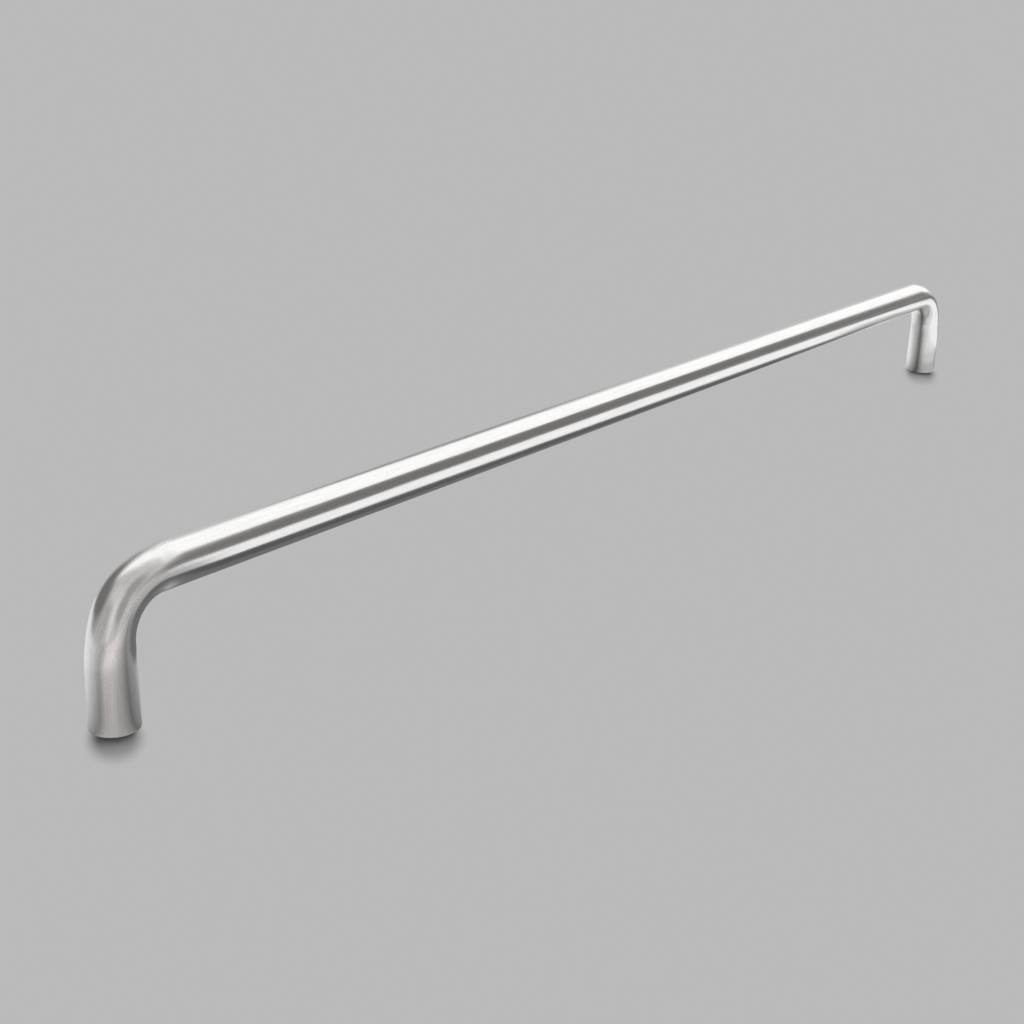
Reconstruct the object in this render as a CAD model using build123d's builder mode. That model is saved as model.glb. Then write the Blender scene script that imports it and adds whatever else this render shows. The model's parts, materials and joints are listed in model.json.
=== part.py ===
from build123d import *
from math import cos, pi, radians, tan
import os

# A bow-shaped cabinet pull, bent from one solid round bar of stainless steel.
# It stands on its two feet on the mounting plane, Z = 0, and reaches away from
# the door along +Z. The bar runs along X, and the origin is half-way between
# the two fixing holes. Both ends are alike, so one half is made and mirrored.

# Driving dimensions, in millimetres and degrees
bar_diameter = 10.0
hole_spacing = 384.0
projection = 35.0
bend_radius = 12.0
outer_side_drawn_in = 1.3
drawn_in_past_bend = 4.5
foot_diameter = 10.5
foot_edge_radius = 0.3
tap_drill_diameter = 3.3
drilled_depth = 14.0
drill_point_angle = 118.0
hole_mouth_diameter = 4.3
hole_mouth_angle = 90.0

# How many spans the loft follows the bend in, fine enough to keep it round to a hundredth
bend_spans = 36

# Worked out from the driving dimensions
bar_radius = bar_diameter / 2
foot_radius = foot_diameter / 2
half_spacing = hole_spacing / 2
centre_height = projection - bar_radius
straight_leg = centre_height - bend_radius
bend_length = bend_radius * pi / 2
bend_middle = straight_leg + bend_length / 2
drawn_in_start = straight_leg - drawn_in_past_bend
drawn_in_end = straight_leg + bend_length + drawn_in_past_bend
straight_half = half_spacing - bend_radius - drawn_in_past_bend
drill_radius = tap_drill_diameter / 2
mouth_radius = hole_mouth_diameter / 2
mouth_depth = (mouth_radius - drill_radius) / tan(radians(hole_mouth_angle / 2))
drill_point_depth = drill_radius / tan(radians(drill_point_angle / 2))

# The left half's centreline: up the leg, round the bend and along the bar
bend_start = (-half_spacing, straight_leg)
bend_centre_x = -half_spacing + bend_radius
bend_end = (bend_centre_x, centre_height)
half_way_across = bend_radius * cos(pi / 4)
bend_mid_point = (bend_centre_x - half_way_across, straight_leg + half_way_across)
with BuildLine(Plane.XZ) as centreline:
    Line((-half_spacing, 0), bend_start)
    ThreePointArc(bend_start, bend_mid_point, bend_end)
    Line(bend_end, (0, centre_height))

# The left leg stands on this axis, and its turned profiles lie in this upright plane
leg_axis = Axis((-half_spacing, 0, 0), (0, 0, 1))
leg_plane = Plane((-half_spacing, 0, 0), x_dir=(1, 0, 0), z_dir=(0, -1, 0))


def radius_at(distance):
    """The leg swells evenly from the bend down to its foot."""
    share_to_foot = max(0, 1 - distance / straight_leg)
    return bar_radius + (foot_radius - bar_radius) * share_to_foot


def drawn_in_at(distance):
    """Bending stretches the outer side of the bar, which flattens there.

    It is at its full depth over the middle half of the bend, and fades out
    smoothly to a little past the bend's two ends.
    """
    full_reach = bend_length / 4
    fade_length = full_reach + drawn_in_past_bend
    fade = (abs(distance - bend_middle) - full_reach) / fade_length
    fade = min(max(fade, 0), 1)
    return outer_side_drawn_in * (1 + cos(pi * fade)) / 2


def bar_section(distance):
    """The bar's section at a distance along the centreline from the foot.

    Its local X points to the outside of the bend: that half is an ellipse
    where the bar is flattened, and the inner half stays round.
    """
    path = centreline.wire()
    here = path.position_at(distance, position_mode=PositionMode.LENGTH)
    along = path.tangent_at(distance, position_mode=PositionMode.LENGTH)
    outward = along.cross(Vector(0, 1, 0))
    radius = radius_at(distance)
    outer_reach = radius - drawn_in_at(distance)
    with BuildSketch(Plane(here, x_dir=outward, z_dir=along)) as section:
        with BuildLine():
            EllipticalCenterArc((0, 0), outer_reach, radius, start_angle=-90, arc_size=180)
            CenterArc((0, 0), radius, start_angle=90, arc_size=180)
        make_face()
    return section.sketch


# The stations along the centreline where the loft takes its sections
span_length = (drawn_in_end - drawn_in_start) / bend_spans
stations = [drawn_in_start + span_length * step for step in range(bend_spans + 1)]

with BuildPart() as pull_bar:
    # The straight leg, turned about its axis, with the foot's edge slightly broken
    with BuildSketch(leg_plane):
        with BuildLine():
            Polyline(
                (0, 0),
                (foot_radius, 0),
                (radius_at(drawn_in_start), drawn_in_start),
                (0, drawn_in_start),
                close=True,
            )
        leg_profile = make_face()
        foot_corner = leg_profile.vertices().group_by(Axis.Y)[0].sort_by(Axis.X)[-1]
        fillet(foot_corner, radius=foot_edge_radius)
    revolve(axis=leg_axis)

    # The bend, lofted along the centreline through its changing sections
    loft(sections=[bar_section(distance) for distance in stations])

    # A blind hole for the fixing screw, drilled and tapped up the middle of the leg
    with BuildSketch(leg_plane):
        with BuildLine():
            Polyline(
                (0, 0),
                (mouth_radius, 0),
                (drill_radius, mouth_depth),
                (drill_radius, drilled_depth),
                (0, drilled_depth + drill_point_depth),
                close=True,
            )
        make_face()
    revolve(axis=leg_axis, mode=Mode.SUBTRACT)

    # The right leg and bend are the mirror image of the left ones
    mirror(about=Plane.YZ)

    # The straight bar, from the middle of its length out to both bends
    with BuildSketch(Plane.YZ):
        with Locations((0, centre_height)):
            Circle(bar_radius)
    extrude(amount=straight_half, both=True)

pull_bar.part.label = "pull_bar"
os.makedirs("parts", exist_ok=True)
export_step(pull_bar.part, "parts/pull_bar.step")
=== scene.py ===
import json
from math import asin, cos, pi, radians, sin, tan

import bmesh
import bpy
from mathutils import Matrix, Vector


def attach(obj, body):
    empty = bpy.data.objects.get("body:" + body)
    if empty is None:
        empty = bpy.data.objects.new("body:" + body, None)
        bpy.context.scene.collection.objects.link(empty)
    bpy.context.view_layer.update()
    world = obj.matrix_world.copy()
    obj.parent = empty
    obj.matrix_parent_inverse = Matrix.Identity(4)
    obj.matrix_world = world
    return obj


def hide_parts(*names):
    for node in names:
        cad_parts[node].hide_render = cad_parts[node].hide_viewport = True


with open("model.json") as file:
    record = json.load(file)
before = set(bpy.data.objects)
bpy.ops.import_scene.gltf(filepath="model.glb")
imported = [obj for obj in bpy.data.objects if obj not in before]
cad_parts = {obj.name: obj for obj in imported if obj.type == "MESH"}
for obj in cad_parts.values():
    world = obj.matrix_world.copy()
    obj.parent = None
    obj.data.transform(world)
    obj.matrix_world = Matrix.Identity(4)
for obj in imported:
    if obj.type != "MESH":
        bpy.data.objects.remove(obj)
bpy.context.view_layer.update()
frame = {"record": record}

# Sizes of the pull, in metres. The hole spacing and the holes come from the packed
# part, and the rest repeats the part's own dimensions.
MM = 0.001
MOUNTS = {mount["name"]: mount for mount in frame["record"]["mounts"]}
HALF_SPACING = MOUNTS["right_screw_hole"]["pos_m"][0]
DRILL_RADIUS = MOUNTS["right_screw_hole"]["dims"]["r_mm"] * MM
MOUTH_DEPTH = MOUNTS["right_screw_hole"]["pos_m"][2]
DRILLED_DEPTH = MOUTH_DEPTH + MOUNTS["right_screw_hole"]["dims"]["length_mm"] * MM
BAR_RADIUS = 5.0 * MM
FOOT_RADIUS = 5.25 * MM
PROJECTION = 35.0 * MM
BEND_RADIUS = 12.0 * MM
OUTER_SIDE_DRAWN_IN = 1.3 * MM
DRAWN_IN_PAST_BEND = 4.5 * MM
FOOT_EDGE_RADIUS = 0.3 * MM
DRILL_POINT_ANGLE = radians(118)

# The M4 thread in the holes
THREAD_PITCH = 0.7 * MM
THREAD_MAJOR_RADIUS = 2.0 * MM
THREAD_DEPTH = 12.0 * MM
THREAD_FLANK_ANGLE = radians(30)

# The three materials' places on the mesh, and the range of V that each surface
# takes in the texture
SATIN, FACED, CUT = range(3)
SKIN_BAND = (0, 0.5)
HOLE_BAND = (0.55, 0.6)
THREAD_BAND = (0.6, 0.8)
MOUTH_BAND = (0.8, 0.9)
FOOT_BAND = (0.9, 1)

# How fine the mesh is. A narrow row of faces beside the foot's rounded edge keeps
# the shading of the surfaces next to it even.
SEGMENTS = 96
EDGE_ROW = 0.05 * MM
FOOT_EDGE_STEPS = 6
LEG_STEPS = 10
BEND_STEPS = 72
STRAIGHT_STEPS = 60
WELD_DISTANCE = 1e-7
SHARP_EDGE_ANGLE = radians(28)

# The metals' darker and lighter colours
SATIN_COLOURS = ((0.725, 0.721, 0.717), (0.840, 0.836, 0.832))
FACED_COLOURS = ((0.62, 0.61, 0.60), (0.70, 0.69, 0.68))
CUT_COLOURS = ((0.42, 0.41, 0.40), (0.52, 0.51, 0.50))

# The grain's sizes across, across and along the bar
SPECKLE_SIZE = (0.20 * MM, 0.20 * MM, 0.36 * MM)
STREAK_SIZE = (0.35 * MM, 0.35 * MM, 14 * MM)
PATCH_SIZE = (6 * MM, 6 * MM, 22 * MM)
CUT_MARK_SIZE = (0.6 * MM, 0.6 * MM, 0.06 * MM)
FACING_RING_SPACING = 0.18 * MM
GRAIN_DEPTH = 0.003 * MM
TOOL_MARK_DEPTH = 0.004 * MM

# How the satin's grain mixes, and the roughness of each surface
STREAK_SHARE = 0.4
GRAIN_CONTRAST = (0.38, 0.62)
STREAK_ROUGHNESS = (0.08, 0.10)
PATCH_ROUGHNESS = (0.09, 0.11)
FACED_ROUGHNESS = 0.32
CUT_ROUGHNESS = (0.34, 0.46)

# The background and the camera, as the photograph shows them
BACKGROUND = 0.491
FLOOR_REACH = 30
CAMERA_YAW = radians(53.347)
CAMERA_PITCH = radians(19.386)
CAMERA_ROLL = radians(1.599)
CAMERA_LOCATION = Vector((-0.37432, -0.23165, 0.14720))
SENSOR_WIDTH = 36.0
IMAGE_WIDTH = 1024
FOCAL_LENGTH_IN_PIXELS = 1611.1
CLIP_START = 0.01
CLIP_END = 100

# The painted shadows on the floor reach from the feet towards the camera: an azimuth,
# and in metres the distance of a shadow's middle from the foot's axis, its half-length
# and half-width. A shadow's edge runs between two shares of its half-size.
SHADOW_DARKEST = 0.11
SHADOW_REACH = 20 * MM
SHADOW_EDGE = (0.5, 1.12)
DARKEST_AT_OPENNESS = 0.48
PAINTED_SHADOW_TILT = (0.65, 0.50, 0.57)
NEAR_SHADOW = (-128, 5.8 * MM, 11 * MM, 5.9 * MM)
FAR_SHADOW = (-154, 5.5 * MM, 24 * MM, 6.0 * MM)

WARM = (1.05, 0.995, 0.965)
QUITE_WARM = (1.035, 0.997, 0.975)
SLIGHTLY_WARM = (1.02, 0.998, 0.988)
NEUTRAL = (1.0, 1.0, 1.0)

# The light all round, and its soft patches: the azimuth and elevation of a patch's
# middle, its half-width and half-height, all in degrees, and its brightness. A patch
# is clear at the first share of its half-size, and full at the second.
SURROUND_BRIGHTNESS = 0.60
SURROUND_PATCHES = [
    (106, 21, 38, 24, 0.18),
    (160, 14, 17, 24, 0.45),
    (175, 48, 18, 12, 0.70),
    (-166, 18, 8, 26, 0.78),
    (-80, 27, 16, 13, 0.47),
    (-132, 26, 18, 20, 0.36),
    (-112, 52, 21, 18, 0.37),
    (39, 18, 5, 12, 0.33),
]
PATCH_EDGE = (1.3, 0.7)

# The studio cards, which show only in the metal. A fade is a direction, and the
# distances along it at which the card is clear and at which it is full, in metres.
SOFTBOX_HEIGHT = 0.45
SOFTBOX_X = (-0.55, 2.60)
SOFTBOX_Y = (-0.62, 0.60)
SOFTBOX_BRIGHTNESS = 1.22
SOFTBOX_FADES = [
    ((0, 1, 0), SOFTBOX_Y[0], SOFTBOX_Y[0] + 0.27),
    ((0, 1, 0), SOFTBOX_Y[1] - 0.04, SOFTBOX_Y[1] - 0.30),
    ((0.866, 0.5, 0), -0.155, 0.0),
]
SOFTBOX_SHADE_GAP = 0.005
SOFTBOX_SHADE_X = (-0.06, 0.36)
SOFTBOX_SHADE_Y = (0.20, 0.60)
SOFTBOX_SHADE_EDGE = 0.14
SOFTBOX_SHADE_BRIGHTNESS = 0.80
SOFTBOX_SHADE_FADES = [
    ((1, 0, 0), SOFTBOX_SHADE_X[0], SOFTBOX_SHADE_X[0] + SOFTBOX_SHADE_EDGE),
    ((1, 0, 0), SOFTBOX_SHADE_X[1], SOFTBOX_SHADE_X[1] - SOFTBOX_SHADE_EDGE),
    ((0, 1, 0), SOFTBOX_SHADE_Y[0], SOFTBOX_SHADE_Y[0] + SOFTBOX_SHADE_EDGE),
    ((0, 1, 0), SOFTBOX_SHADE_Y[1], SOFTBOX_SHADE_Y[1] - SOFTBOX_SHADE_EDGE),
]
FLAG_Y = -0.30
FLAG_X = (-0.27, 1.15)
FLAG_Z = (0.032, 0.430)
FLAG_BRIGHTNESS = 0.18
FLAG_FADES = [
    ((1, 0, -0.83), -0.30, -0.03),
    ((1, 0, 0), FLAG_X[1], FLAG_X[1] - 0.25),
    ((0, 0, 1), FLAG_Z[1], FLAG_Z[1] - 0.035),
    ((0.8, 0, 1), 0.02, 0.13),
]

# The cards that lie a hair above the floor, one over another: a card's height, its
# brightness, and its corners as X and Y, with all lengths in millimetres
FLOOR_CARDS = {
    "back_card": (0.25, 0.17, [(-157.5, -40), (130, -40), (130, 35), (-157.5, 35)]),
    "dark_right_card": (0.25, 0.20, [(262, -12), (262, -1500), (1800, -1500), (1800, -400)]),
    "front_card": (0.30, 1.09, [
        (-137, -36), (877, -1500), (1250, -1500), (640, -600), (410, -285), (325, -145), (302, -62),
        (274, -36), (262, -12), (240, -8), (215, -18), (200, -24), (184, -24), (168, -15), (155, -11),
    ]),
    # The last card is painted shade: a dark strip where the floor lies in the bar's shadow, seen only in
    # the metal.
    "under_bar_painted_shade": (0.40, 0.10, [(-152, -35), (130, 0), (130, 9), (-60, -5), (-148, -10), (-152, -13)]),
}

# The tones round each foot: azimuths in degrees, from +X towards +Y, with a
# brightness. A painted contact shade darkens them towards a point in front of the foot,
# and the ones between the front azimuths are tinted.
LEFT_FOOT_TONES = [
    (0, 0.62), (17, 0.65), (45, 0.65), (92, 0.92), (120, 0.84), (150, 0.64), (180, 0.37),
    (205, 0.78), (230, 0.86), (258, 0.66), (281, 0.46), (297, 0.27), (311, 0.41), (325, 0.46), (345, 0.52),
]
RIGHT_FOOT_TONES = [
    (5, 0.35), (22, 0.55), (40, 0.95), (70, 1.0), (107, 0.84), (135, 0.50), (158, 0.33),
    (172, 0.13), (184, 0.15), (196, 0.37), (215, 0.67), (240, 0.88), (300, 0.94), (335, 0.62),
]
FRONT_AZIMUTHS = (190, 290)
# The painted contact shade in the tones is darkest at this Y in front of each foot, at this share
DARKEST_Y = -15 * MM
DARKEST_SHARE = 0.55
HEIGHT_STRETCH = 8
SURROUND_HEIGHT = 0.20 * MM
LEFT_SURROUND_REACH = 400 * MM
LEFT_SURROUND_X = (-1, -0.150)
RIGHT_SURROUND_REACH = 100 * MM
RIGHT_SURROUND_X = (0.125, 1)
LEFT_FADE_REACH = 65 * MM
RIGHT_FADE_REACH = 45 * MM

# The screen round the right foot, whose top runs through these azimuths and heights
SCREEN_REACH = 28 * MM
SCREEN_BOTTOM = 0.25 * MM
SCREEN_STEPS = 8
SCREEN_TOPS = [
    (176, 13.5 * MM), (240, 13.5 * MM), (262, 7 * MM), (300, 6 * MM), (320, 4.5 * MM), (345, 4 * MM),
]

# Worked out from the sizes
CENTRE_HEIGHT = PROJECTION - BAR_RADIUS
STRAIGHT_LEG = CENTRE_HEIGHT - BEND_RADIUS
BEND_LENGTH = BEND_RADIUS * pi / 2
BEND_MIDDLE = STRAIGHT_LEG + BEND_LENGTH / 2
DRAWN_IN_START = STRAIGHT_LEG - DRAWN_IN_PAST_BEND
DRAWN_IN_END = STRAIGHT_LEG + BEND_LENGTH + DRAWN_IN_PAST_BEND
HALF_LENGTH = STRAIGHT_LEG + BEND_LENGTH + HALF_SPACING - BEND_RADIUS


# The pull's shape

def radius_at(distance):
    """The leg swells evenly from the bend down to its foot."""
    return BAR_RADIUS + (FOOT_RADIUS - BAR_RADIUS) * max(0, 1 - distance / STRAIGHT_LEG)


def drawn_in_at(distance):
    """How far the stretched outer side of the bend is flattened."""
    full_reach = BEND_LENGTH / 4
    fade = (abs(distance - BEND_MIDDLE) - full_reach) / (full_reach + DRAWN_IN_PAST_BEND)
    return OUTER_SIDE_DRAWN_IN * (1 + cos(pi * min(max(fade, 0), 1))) / 2


def centreline_at(distance):
    """The left half's centreline point and the direction to the outside of the bend there."""
    turned = min(max((distance - STRAIGHT_LEG) / BEND_RADIUS, 0), pi / 2)
    outward = Vector((-cos(turned), 0, sin(turned)))
    bend_centre = Vector((BEND_RADIUS - HALF_SPACING, 0, STRAIGHT_LEG))
    point = bend_centre + outward * BEND_RADIUS
    if distance < STRAIGHT_LEG:
        point.z = distance
    point.x += max(0, distance - STRAIGHT_LEG - BEND_LENGTH)
    return point, outward


def skin_ring(distance):
    """The bar's outline at a distance from the left foot, starting on the bend's outer side."""
    centre, outward = centreline_at(distance)
    radius = radius_at(distance)
    outer_reach = radius - drawn_in_at(distance)
    ring = []
    for step in range(SEGMENTS + 1):
        angle = 2 * pi * step / SEGMENTS
        reach = outer_reach if cos(angle) > 0 else radius
        ring.append(centre + outward * (reach * cos(angle)) + Vector((0, radius * sin(angle), 0)))
    return ring


def level_ring(radius, height):
    """A level circle round the left leg's axis, in step with the skin's rings."""
    ring = []
    for step in range(SEGMENTS + 1):
        angle = 2 * pi * step / SEGMENTS
        ring.append(Vector((-HALF_SPACING - radius * cos(angle), radius * sin(angle), height)))
    return ring


def evenly(start, end, steps):
    """The ends of equal steps from start to end, without start itself."""
    return [start + (end - start) * step / steps for step in range(1, steps + 1)]


def skin_rings():
    """The outside of the left half, from the edge of its foot to the middle of the bar."""
    rings = []
    for turned in [pi / 2] + evenly(pi / 2, 0, FOOT_EDGE_STEPS):
        radius = radius_at(0) - FOOT_EDGE_RADIUS * (1 - cos(turned))
        rings.append(level_ring(radius, FOOT_EDGE_RADIUS * (1 - sin(turned))))
    distances = [FOOT_EDGE_RADIUS + EDGE_ROW]
    distances += evenly(FOOT_EDGE_RADIUS, DRAWN_IN_START, LEG_STEPS)
    distances += evenly(DRAWN_IN_START, DRAWN_IN_END, BEND_STEPS)
    distances += evenly(DRAWN_IN_END, HALF_LENGTH, STRAIGHT_STEPS)
    return rings + [skin_ring(distance) for distance in distances]


def foot_rings():
    """The flat of the foot, from the mouth of the hole out to the rounded edge."""
    edge = radius_at(0) - FOOT_EDGE_RADIUS
    mouth = DRILL_RADIUS + MOUTH_DEPTH
    return [level_ring(radius, 0) for radius in (mouth, edge - EDGE_ROW, edge)]


def thread_rings():
    """Rows that follow the helix of a right-hand thread, cut off level at both ends.

    Four rows make a turn: crest, crest, root and root. A row that runs past an
    end lies on it, and welding the mesh then takes the empty faces away.
    """
    depth = THREAD_MAJOR_RADIUS - DRILL_RADIUS
    flank = depth * tan(THREAD_FLANK_ANGLE)
    root = THREAD_PITCH / 8
    crest = THREAD_PITCH - root - 2 * flank
    profile = [(0, 0), (crest, 0), (crest + flank, depth), (crest + flank + root, depth)]
    turns = int((THREAD_DEPTH - MOUTH_DEPTH) / THREAD_PITCH) + 3
    rings = []
    for turn in range(-1, turns):
        for rise, cut in profile:
            ring = []
            for step in range(SEGMENTS + 1):
                angle = 2 * pi * step / SEGMENTS
                height = MOUTH_DEPTH + THREAD_PITCH * (turn + step / SEGMENTS) + rise
                height = min(max(height, MOUTH_DEPTH), THREAD_DEPTH)
                to_end = min(height - MOUTH_DEPTH, THREAD_DEPTH - height)
                radius = DRILL_RADIUS + cut * min(1, 2 * to_end / THREAD_PITCH)
                x = -HALF_SPACING + radius * cos(angle)
                ring.append(Vector((x, radius * sin(angle), height)))
            rings.append(ring)
    return rings


def hole_rings():
    """The bottom of the hole, past its thread, and the drill's point."""
    tip_depth = DRILLED_DEPTH + DRILL_RADIUS / tan(DRILL_POINT_ANGLE / 2)
    levels = [(DRILL_RADIUS, THREAD_DEPTH), (DRILL_RADIUS, DRILLED_DEPTH), (0, tip_depth)]
    return [level_ring(radius, height) for radius, height in levels]


def mouth_rings():
    """The countersunk mouth of the hole."""
    return [level_ring(DRILL_RADIUS, MOUTH_DEPTH), level_ring(DRILL_RADIUS + MOUTH_DEPTH, 0)]


def straightened(point):
    """Where a point of the left half would be if the bar were unbent: across, across and along.

    The grain of the metal follows these, so that it runs round the bends.
    """
    bend_centre = Vector((BEND_RADIUS - HALF_SPACING, 0, STRAIGHT_LEG))
    if point.z < STRAIGHT_LEG and point.x < bend_centre.x:
        return Vector((-HALF_SPACING - point.x, point.y, point.z))
    if point.x > bend_centre.x:
        along = STRAIGHT_LEG + BEND_LENGTH + point.x - bend_centre.x
        return Vector((point.z - CENTRE_HEIGHT, point.y, along))
    arm = point - bend_centre
    turned = asin(arm.z / Vector((arm.x, arm.z)).length)
    across = Vector((arm.x, arm.z)).length - BEND_RADIUS
    return Vector((across, point.y, STRAIGHT_LEG + BEND_RADIUS * turned))


def add_rings(mesh, rings, material, band):
    """Joins rows of points into faces, with the way round as U and the way along as V."""
    first, last = band
    texture = mesh.loops.layers.uv.verify()
    rows = [[mesh.verts.new(point) for point in ring] for ring in rings]
    for row in range(len(rows) - 1):
        for step in range(SEGMENTS):
            corners = [(row, step), (row, step + 1), (row + 1, step + 1), (row + 1, step)]
            face = mesh.faces.new([rows[r][s] for r, s in corners])
            face.material_index = material
            face.smooth = True
            for loop, (r, s) in zip(face.loops, corners):
                loop[texture].uv = (s / SEGMENTS, first + (last - first) * r / (len(rows) - 1))


def make_pull_bar():
    """The whole pull: one half is made and mirrored."""
    mesh = bmesh.new()
    add_rings(mesh, skin_rings(), SATIN, SKIN_BAND)
    add_rings(mesh, foot_rings(), FACED, FOOT_BAND)
    add_rings(mesh, mouth_rings(), FACED, MOUTH_BAND)
    add_rings(mesh, thread_rings(), CUT, THREAD_BAND)
    add_rings(mesh, hole_rings(), CUT, HOLE_BAND)
    grain = mesh.verts.layers.float_vector.new("straightened")
    for vertex in mesh.verts:
        vertex[grain] = straightened(vertex.co)
    left_half = list(mesh.verts) + list(mesh.edges) + list(mesh.faces)
    copied = bmesh.ops.duplicate(mesh, geom=left_half)["geom"]
    for vertex in (item for item in copied if isinstance(item, bmesh.types.BMVert)):
        vertex.co.x = -vertex.co.x
        vertex[grain] = Vector((vertex[grain].x, vertex[grain].y, 2 * HALF_LENGTH - vertex[grain].z))
    bmesh.ops.remove_doubles(mesh, verts=mesh.verts, dist=WELD_DISTANCE)
    bmesh.ops.dissolve_degenerate(mesh, edges=mesh.edges, dist=WELD_DISTANCE)
    bmesh.ops.recalc_face_normals(mesh, faces=mesh.faces)
    for edge in mesh.edges:
        edge.smooth = len(edge.link_faces) == 2 and edge.calc_face_angle() < SHARP_EDGE_ANGLE
    data = bpy.data.meshes.new("satin_pull_bar")
    mesh.to_mesh(data)
    mesh.free()
    piece = bpy.data.objects.new("satin_pull_bar", data)
    bpy.context.scene.collection.objects.link(piece)
    return piece


# Materials

class Nodes:
    """Short ways to add and join shader nodes in one material or world."""

    def __init__(self, owner):
        owner.use_nodes = True
        self.tree = owner.node_tree
        self.tree.nodes.clear()

    def add(self, kind, **settings):
        node = self.tree.nodes.new("ShaderNode" + kind)
        for name, value in settings.items():
            setattr(node, name, value)
        return node

    def join(self, output, socket):
        self.tree.links.new(output, socket)

    def noise(self, coordinates, stretch, detail=2.0):
        """Noise with features of a size given along each axis, in metres."""
        mapping = self.add("Mapping")
        mapping.inputs["Scale"].default_value = [1 / size for size in stretch]
        noise = self.add("TexNoise")
        noise.inputs["Scale"].default_value = 1
        noise.inputs["Detail"].default_value = detail
        self.join(coordinates, mapping.inputs["Vector"])
        self.join(mapping.outputs["Vector"], noise.inputs["Vector"])
        return noise.outputs["Fac"]

    def to_range(self, value, low, high, from_low=0.3, from_high=0.7):
        """Spreads part of the value's range, by default a noise's middle, from low to high."""
        spread = self.add("MapRange")
        spread.inputs["From Min"].default_value = from_low
        spread.inputs["From Max"].default_value = from_high
        spread.inputs["To Min"].default_value = low
        spread.inputs["To Max"].default_value = high
        self.join(value, spread.inputs["Value"])
        return spread.outputs["Result"]

    def mix_colours(self, share, first, second):
        mix = self.add("Mix", data_type="RGBA")
        mix.inputs["A"].default_value = (*first, 1)
        mix.inputs["B"].default_value = (*second, 1)
        self.join(share, mix.inputs["Factor"])
        return mix.outputs["Result"]

    def fade(self, value, start, end, low=0.0):
        """A smooth rise from low at one value to 1 at another."""
        fade = self.add("MapRange", interpolation_type="SMOOTHSTEP")
        rising = start < end
        fade.inputs["From Min"].default_value = min(start, end)
        fade.inputs["From Max"].default_value = max(start, end)
        fade.inputs["To Min"].default_value = low if rising else 1
        fade.inputs["To Max"].default_value = 1 if rising else low
        self.join(value, fade.inputs["Value"])
        return fade.outputs["Result"]

    def multiply(self, first, second):
        product = self.add("Math", operation="MULTIPLY")
        self.join(first, product.inputs[0])
        self.join(second, product.inputs[1])
        return product.outputs["Value"]

    def mix_levels(self, share, level, other):
        """One level where the share is 0, and another, plain one where it is 1."""
        mix = self.add("Mix")
        mix.inputs["B"].default_value = other
        self.join(share, mix.inputs["Factor"])
        self.join(level, mix.inputs["A"])
        return mix.outputs["Result"]

    def bump(self, height, depth):
        bump = self.add("Bump")
        bump.inputs["Distance"].default_value = depth
        self.join(height, bump.inputs["Height"])
        return bump.outputs["Normal"]


def metal(name):
    """A material with a metallic shader, and its nodes."""
    material = bpy.data.materials.new(name)
    nodes = Nodes(material)
    shader = nodes.add("BsdfPrincipled")
    shader.inputs["Metallic"].default_value = 1
    output = nodes.add("OutputMaterial")
    nodes.join(shader.outputs["BSDF"], output.inputs["Surface"])
    return material, nodes, shader


def satin_steel():
    """Stainless steel with a fine satin grain, drawn out a little along the bar."""
    material, nodes, shader = metal("satin_steel")
    place = nodes.add("Attribute", attribute_name="straightened").outputs["Vector"]
    speckle = nodes.noise(place, SPECKLE_SIZE, 3.0)
    streaks = nodes.noise(place, STREAK_SIZE)
    patches = nodes.noise(place, PATCH_SIZE)
    mixed = nodes.add("Mix")
    mixed.inputs["Factor"].default_value = STREAK_SHARE
    nodes.join(speckle, mixed.inputs["A"])
    nodes.join(streaks, mixed.inputs["B"])
    share = nodes.to_range(mixed.outputs["Result"], 0, 1, *GRAIN_CONTRAST)
    colour = nodes.mix_colours(share, *SATIN_COLOURS)
    nodes.join(colour, shader.inputs["Base Color"])
    roughness = nodes.add("Math", operation="ADD")
    nodes.join(nodes.to_range(streaks, *STREAK_ROUGHNESS), roughness.inputs[0])
    nodes.join(nodes.to_range(patches, *PATCH_ROUGHNESS), roughness.inputs[1])
    nodes.join(roughness.outputs["Value"], shader.inputs["Roughness"])
    nodes.join(nodes.bump(speckle, GRAIN_DEPTH), shader.inputs["Normal"])
    return material


def faced_steel():
    """The foot's end, faced flat on a lathe, with its fine rings."""
    material, nodes, shader = metal("faced_steel")
    place = nodes.add("Attribute", attribute_name="straightened").outputs["Vector"]
    flat = nodes.add("Mapping")
    flat.inputs["Scale"].default_value = (1, 1, 0)
    nodes.join(place, flat.inputs["Vector"])
    from_axis = nodes.add("VectorMath", operation="LENGTH")
    nodes.join(flat.outputs["Vector"], from_axis.inputs[0])
    turns = nodes.add("Math", operation="MULTIPLY")
    turns.inputs[1].default_value = 2 * pi / FACING_RING_SPACING
    nodes.join(from_axis.outputs["Value"], turns.inputs[0])
    rings = nodes.add("Math", operation="SINE")
    nodes.join(turns.outputs["Value"], rings.inputs[0])
    share = nodes.to_range(rings.outputs["Value"], 0, 1, -1, 1)
    colour = nodes.mix_colours(share, *FACED_COLOURS)
    nodes.join(colour, shader.inputs["Base Color"])
    shader.inputs["Roughness"].default_value = FACED_ROUGHNESS
    nodes.join(nodes.bump(rings.outputs["Value"], TOOL_MARK_DEPTH), shader.inputs["Normal"])
    return material


def cut_steel():
    """The drilled and tapped wall of the hole."""
    material, nodes, shader = metal("cut_steel")
    place = nodes.add("Attribute", attribute_name="straightened").outputs["Vector"]
    marks = nodes.noise(place, CUT_MARK_SIZE)
    share = nodes.to_range(marks, 0, 1)
    colour = nodes.mix_colours(share, *CUT_COLOURS)
    nodes.join(colour, shader.inputs["Base Color"])
    nodes.join(nodes.to_range(marks, *CUT_ROUGHNESS), shader.inputs["Roughness"])
    nodes.join(nodes.bump(marks, TOOL_MARK_DEPTH), shader.inputs["Normal"])
    return material


# The studio

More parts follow.
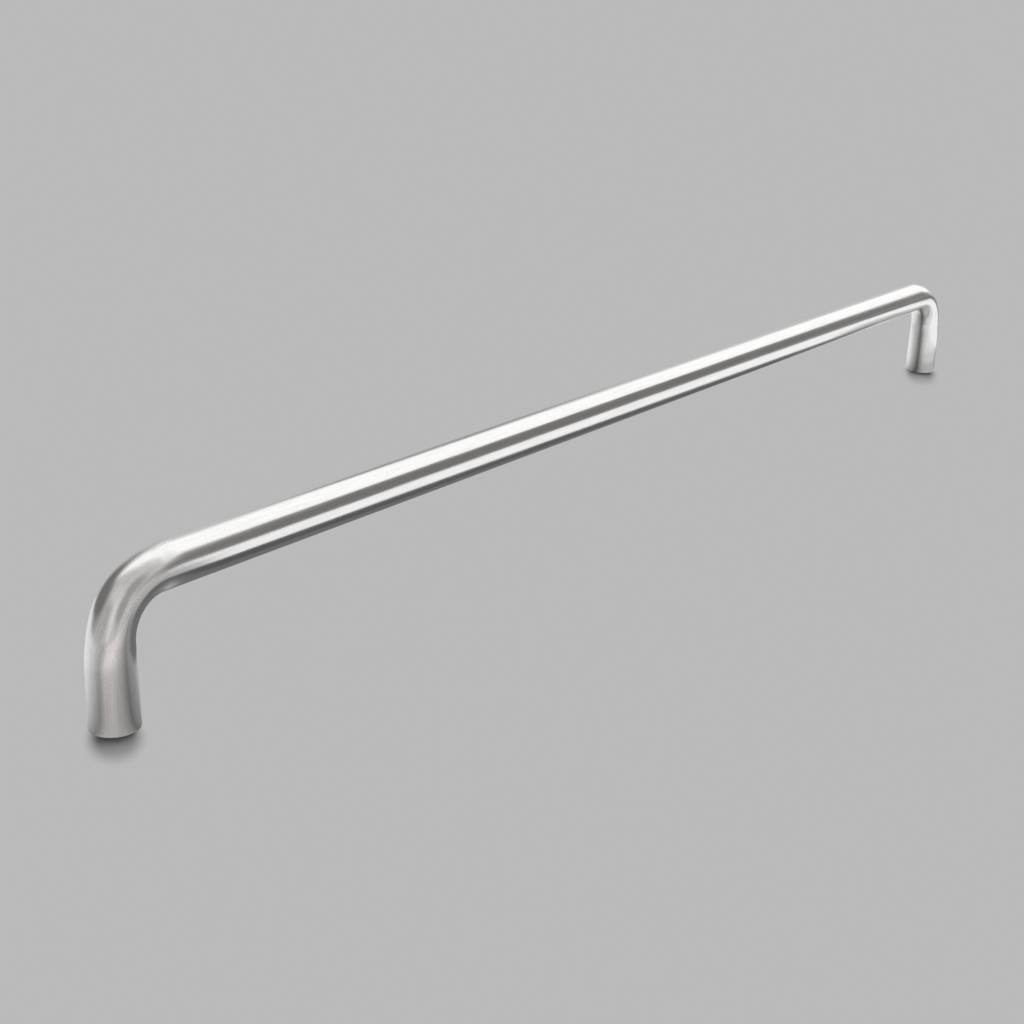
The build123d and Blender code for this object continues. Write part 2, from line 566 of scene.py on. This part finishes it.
def clear_of_shadow(nodes, position, foot_x, shadow):
    """0 inside the patch where one foot's shadow is painted, rising smoothly to 1 outside it."""
    azimuth, distance, half_length, half_width = shadow
    turned = radians(azimuth)
    local = nodes.add("Mapping", vector_type="TEXTURE")
    local.inputs["Location"].default_value = (foot_x + distance * cos(turned), distance * sin(turned), 0)
    local.inputs["Rotation"].default_value = (0, 0, turned)
    local.inputs["Scale"].default_value = (half_length, half_width, 1)
    nodes.join(position, local.inputs["Vector"])
    from_middle = nodes.add("VectorMath", operation="LENGTH")
    nodes.join(local.outputs["Vector"], from_middle.inputs[0])
    return nodes.fade(from_middle.outputs["Value"], *SHADOW_EDGE)


def floor_material():
    """A plain pale floor that glows, with the feet's soft contact shadows painted into its glow.

    The painted shadows look as if from a big light behind, though no lamp is there.
    How much of the foot stands between a spot of the floor and that side comes from
    ambient occlusion turned towards it, which darkens the glow only inside a painted
    patch in front of each foot.
    """
    material = bpy.data.materials.new("pale_floor")
    nodes = Nodes(material)
    occlusion_tilt = nodes.add("CombineXYZ")
    for axis, share in zip("XYZ", PAINTED_SHADOW_TILT):
        occlusion_tilt.inputs[axis].default_value = share
    contact = nodes.add("AmbientOcclusion", samples=16)
    contact.inputs["Distance"].default_value = SHADOW_REACH
    nodes.join(occlusion_tilt.outputs["Vector"], contact.inputs["Normal"])
    shade = nodes.to_range(contact.outputs["AO"], SHADOW_DARKEST, 1, DARKEST_AT_OPENNESS, 1)
    position = nodes.add("NewGeometry").outputs["Position"]
    clear_left = clear_of_shadow(nodes, position, -HALF_SPACING, NEAR_SHADOW)
    clear_right = clear_of_shadow(nodes, position, HALF_SPACING, FAR_SHADOW)
    shade = nodes.mix_levels(nodes.multiply(clear_left, clear_right), shade, 1)
    strength = nodes.add("Math", operation="MULTIPLY")
    strength.inputs[1].default_value = BACKGROUND
    nodes.join(shade, strength.inputs[0])
    glow = nodes.add("Emission")
    glow.inputs["Color"].default_value = (1, 1, 1, 1)
    output = nodes.add("OutputMaterial")
    nodes.join(strength.outputs["Value"], glow.inputs["Strength"])
    nodes.join(glow.outputs["Emission"], output.inputs["Surface"])
    return material


def stage_object(name, data):
    """An object of the studio, which isn't part of the pull."""
    made = bpy.data.objects.new(name, data)
    bpy.context.scene.collection.objects.link(made)
    return made


def plane(name, corners, material):
    data = bpy.data.meshes.new(name)
    data.from_pydata(corners, [], [range(len(corners))])
    data.materials.append(material)
    return stage_object(name, data)


def rectangle(across, up):
    """The corners of a rectangle, given its lowest and highest value each way."""
    return [(across[0], up[0]), (across[1], up[0]), (across[1], up[1]), (across[0], up[1])]


def make_floor():
    reach = (-FLOOR_REACH, FLOOR_REACH)
    plane("floor", [(x, y, 0) for x, y in rectangle(reach, reach)], floor_material())


def glow_material(name, brightness, colour, fades=()):
    """A lit studio card. Along each fade's direction it is clear at one distance and full at another."""
    material = bpy.data.materials.new(name)
    nodes = Nodes(material)
    glow = nodes.add("Emission")
    glow.inputs["Color"].default_value = (*colour, 1)
    glow.inputs["Strength"].default_value = brightness
    output = nodes.add("OutputMaterial")
    if not fades:
        nodes.join(glow.outputs["Emission"], output.inputs["Surface"])
        return material
    position = nodes.add("NewGeometry").outputs["Position"]
    share = None
    for direction, clear_at, full_at in fades:
        along = nodes.add("VectorMath", operation="DOT_PRODUCT")
        along.inputs[1].default_value = direction
        nodes.join(position, along.inputs[0])
        fade = nodes.fade(along.outputs["Value"], clear_at, full_at)
        share = nodes.multiply(share, fade) if share else fade
    clear = nodes.add("BsdfTransparent")
    both = nodes.add("MixShader")
    nodes.join(share, both.inputs["Fac"])
    nodes.join(clear.outputs["BSDF"], both.inputs[1])
    nodes.join(glow.outputs["Emission"], both.inputs[2])
    nodes.join(both.outputs["Shader"], output.inputs["Surface"])
    return material


def hide_from_all_but_metal(made):
    made.visible_camera = False
    made.visible_diffuse = False
    made.visible_shadow = False
    made.visible_transmission = False


def card(name, corners, material):
    """A studio card that shows only in the metal's reflections."""
    hide_from_all_but_metal(plane(name, corners, material))


def floor_card(name):
    """One of the cards that lie a hair above the floor."""
    height, brightness, outline = FLOOR_CARDS[name]
    corners = [(x * MM, y * MM, height * MM) for x, y in outline]
    card(name, corners, glow_material(name, brightness, NEUTRAL))


def make_softbox():
    """The big overhead softbox, which fades out at its front, its back and its front left corner."""
    material = glow_material("overhead_softbox", SOFTBOX_BRIGHTNESS, NEUTRAL, SOFTBOX_FADES)
    corners = rectangle(SOFTBOX_X, SOFTBOX_Y)
    card("overhead_softbox", [(x, y, SOFTBOX_HEIGHT) for x, y in corners], material)


def make_softbox_shade():
    """A weaker patch of the softbox's light, towards its back."""
    material = glow_material("softbox_shade", SOFTBOX_SHADE_BRIGHTNESS, NEUTRAL, SOFTBOX_SHADE_FADES)
    corners = rectangle(SOFTBOX_SHADE_X, SOFTBOX_SHADE_Y)
    card("softbox_shade", [(x, y, SOFTBOX_HEIGHT - SOFTBOX_SHADE_GAP) for x, y in corners], material)


def make_flag():
    """The upright dark flag that the bar's front mirrors."""
    material = glow_material("front_flag", FLAG_BRIGHTNESS, WARM, FLAG_FADES)
    corners = rectangle(FLAG_X, FLAG_Z)
    card("front_flag", [(x, FLAG_Y, z) for x, z in corners], material)


def surround_material(name, foot_x, tones, fade_reach, front_tint):
    """The tones about one foot, which change on the way round, with a painted contact
    shade that darkens them towards it.

    The painted shade ends at the fade's reach from its darkest point, and sooner
    upwards than along the floor.
    """
    material = bpy.data.materials.new(name)
    nodes = Nodes(material)
    position = nodes.add("NewGeometry").outputs["Position"]
    centred = nodes.add("Mapping")
    centred.inputs["Location"].default_value = (-foot_x, 0, 0)
    nodes.join(position, centred.inputs["Vector"])
    flat = nodes.add("Mapping")
    flat.inputs["Scale"].default_value = (1, 1, 0)
    nodes.join(centred.outputs["Vector"], flat.inputs["Vector"])
    sweep = nodes.add("TexGradient", gradient_type="RADIAL")
    nodes.join(flat.outputs["Vector"], sweep.inputs["Vector"])
    ramp = nodes.add("ValToRGB")
    stops = ramp.color_ramp.elements
    placed = []
    for azimuth, tone in tones:
        tint = front_tint if FRONT_AZIMUTHS[0] < azimuth < FRONT_AZIMUTHS[1] else NEUTRAL
        placed.append(((azimuth + 180) % 360 / 360, [tone * share for share in tint]))
    placed.sort()
    placed = [(0, placed[-1][1])] + placed + [(1, placed[0][1])]
    while len(stops) < len(placed):
        stops.new(1)
    for stop, (place, colour) in zip(stops, placed):
        stop.position = place
        stop.color = (*colour, 1)
    nodes.join(sweep.outputs["Fac"], ramp.inputs["Fac"])
    from_darkest = nodes.add("Mapping")
    from_darkest.inputs["Location"].default_value = (-foot_x, -DARKEST_Y, 0)
    from_darkest.inputs["Scale"].default_value = (1, 1, HEIGHT_STRETCH)
    nodes.join(position, from_darkest.inputs["Vector"])
    distance = nodes.add("VectorMath", operation="LENGTH")
    nodes.join(from_darkest.outputs["Vector"], distance.inputs[0])
    shade = nodes.fade(distance.outputs["Value"], FOOT_RADIUS, fade_reach, DARKEST_SHARE)
    glow = nodes.add("Emission")
    nodes.join(ramp.outputs["Color"], glow.inputs["Color"])
    nodes.join(shade, glow.inputs["Strength"])
    output = nodes.add("OutputMaterial")
    nodes.join(glow.outputs["Emission"], output.inputs["Surface"])
    return material


def foot_surround(name, foot_x, reach, x_limits, material):
    """A round card on the floor about one foot, cut off at a lowest and a highest X."""
    corners = []
    for step in range(SEGMENTS):
        angle = 2 * pi * step / SEGMENTS
        x = min(max(foot_x + reach * cos(angle), x_limits[0]), x_limits[1])
        corners.append((x, reach * sin(angle), SURROUND_HEIGHT))
    card(name, corners, material)


def make_right_screen(material):
    """A low curved card that stands round part of the right foot, with the right foot's tones and their
    painted contact shade.
    """
    corners = []
    for (start, low), (end, high) in zip(SCREEN_TOPS, SCREEN_TOPS[1:]):
        for step in range(SCREEN_STEPS):
            share = step / SCREEN_STEPS
            azimuth = radians(start + (end - start) * share)
            top = low + (high - low) * share
            corners.append((HALF_SPACING + SCREEN_REACH * cos(azimuth), SCREEN_REACH * sin(azimuth), top))
    data = bpy.data.meshes.new("right_foot_screen")
    below = [(x, y, SCREEN_BOTTOM) for x, y, z in corners]
    count = len(corners)
    faces = [(step, step + 1, count + step + 1, count + step) for step in range(count - 1)]
    data.from_pydata(corners + below, [], faces)
    data.materials.append(material)
    hide_from_all_but_metal(stage_object("right_foot_screen", data))


def make_world():
    """Even light from all round with a few soft darker and lighter patches.

    Seen straight, the world is the plain background.
    """
    world = bpy.data.worlds.new("studio")
    bpy.context.scene.world = world
    nodes = Nodes(world)
    direction = nodes.add("TexCoord").outputs["Generated"]
    level = nodes.add("Value")
    level.outputs["Value"].default_value = SURROUND_BRIGHTNESS
    level = level.outputs["Value"]
    for azimuth, elevation, half_width, half_height, tone in SURROUND_PATCHES:
        turned, raised = radians(azimuth), radians(elevation)
        middle = Vector((cos(raised) * cos(turned), cos(raised) * sin(turned), sin(raised)))
        across = Vector((-sin(turned), cos(turned), 0))
        facing = Matrix((across, middle.cross(across), middle)).transposed()
        local = nodes.add("Mapping", vector_type="TEXTURE")
        local.inputs["Location"].default_value = middle
        local.inputs["Rotation"].default_value = facing.to_euler()
        local.inputs["Scale"].default_value = (sin(radians(half_width)), sin(radians(half_height)), 1)
        nodes.join(direction, local.inputs["Vector"])
        distance = nodes.add("VectorMath", operation="LENGTH")
        nodes.join(local.outputs["Vector"], distance.inputs[0])
        share = nodes.fade(distance.outputs["Value"], *PATCH_EDGE)
        level = nodes.mix_levels(share, level, tone)
    around = nodes.add("Background")
    around.inputs["Color"].default_value = (*QUITE_WARM, 1)
    nodes.join(level, around.inputs["Strength"])
    plain = nodes.add("Background")
    plain.inputs["Color"].default_value = (1, 1, 1, 1)
    plain.inputs["Strength"].default_value = BACKGROUND
    both = nodes.add("MixShader")
    nodes.join(nodes.add("LightPath").outputs["Is Camera Ray"], both.inputs["Fac"])
    nodes.join(around.outputs["Background"], both.inputs[1])
    nodes.join(plain.outputs["Background"], both.inputs[2])
    output = nodes.add("OutputWorld")
    nodes.join(both.outputs["Shader"], output.inputs["Surface"])


def make_camera():
    """The photograph's view, from in front, above and to the left."""
    ahead = Vector((
        sin(CAMERA_YAW) * cos(CAMERA_PITCH),
        cos(CAMERA_YAW) * cos(CAMERA_PITCH),
        -sin(CAMERA_PITCH),
    ))
    level_right = Vector((cos(CAMERA_YAW), -sin(CAMERA_YAW), 0))
    level_up = level_right.cross(ahead)
    right = level_right * cos(CAMERA_ROLL) + level_up * sin(CAMERA_ROLL)
    up = right.cross(ahead)
    data = bpy.data.cameras.new("camera")
    data.sensor_width = SENSOR_WIDTH
    data.lens = FOCAL_LENGTH_IN_PIXELS * SENSOR_WIDTH / IMAGE_WIDTH
    data.clip_start = CLIP_START
    data.clip_end = CLIP_END
    camera = bpy.data.objects.new("camera", data)
    turn = Matrix((right, up, -ahead)).transposed().to_4x4()
    camera.matrix_world = Matrix.Translation(CAMERA_LOCATION) @ turn
    bpy.context.scene.collection.objects.link(camera)
    bpy.context.scene.camera = camera


pull_bar = make_pull_bar()
for material in (satin_steel(), faced_steel(), cut_steel()):
    pull_bar.data.materials.append(material)
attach(pull_bar, "root")
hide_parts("pull_bar")

make_floor()
make_world()
make_camera()
make_softbox()
make_softbox_shade()
make_flag()
floor_card("back_card")
left_tones = surround_material(
    "left_foot_tones", -HALF_SPACING, LEFT_FOOT_TONES, LEFT_FADE_REACH, WARM
)
right_tones = surround_material(
    "right_foot_tones", HALF_SPACING, RIGHT_FOOT_TONES, RIGHT_FADE_REACH, SLIGHTLY_WARM
)
foot_surround("left_foot_surround", -HALF_SPACING, LEFT_SURROUND_REACH, LEFT_SURROUND_X, left_tones)
foot_surround("right_foot_surround", HALF_SPACING, RIGHT_SURROUND_REACH, RIGHT_SURROUND_X, right_tones)
make_right_screen(right_tones)
floor_card("dark_right_card")
floor_card("front_card")
# The strip under the bar is painted shade, seen only in the metal.
floor_card("under_bar_painted_shade")

bpy.context.scene.view_settings.view_transform = "Standard"
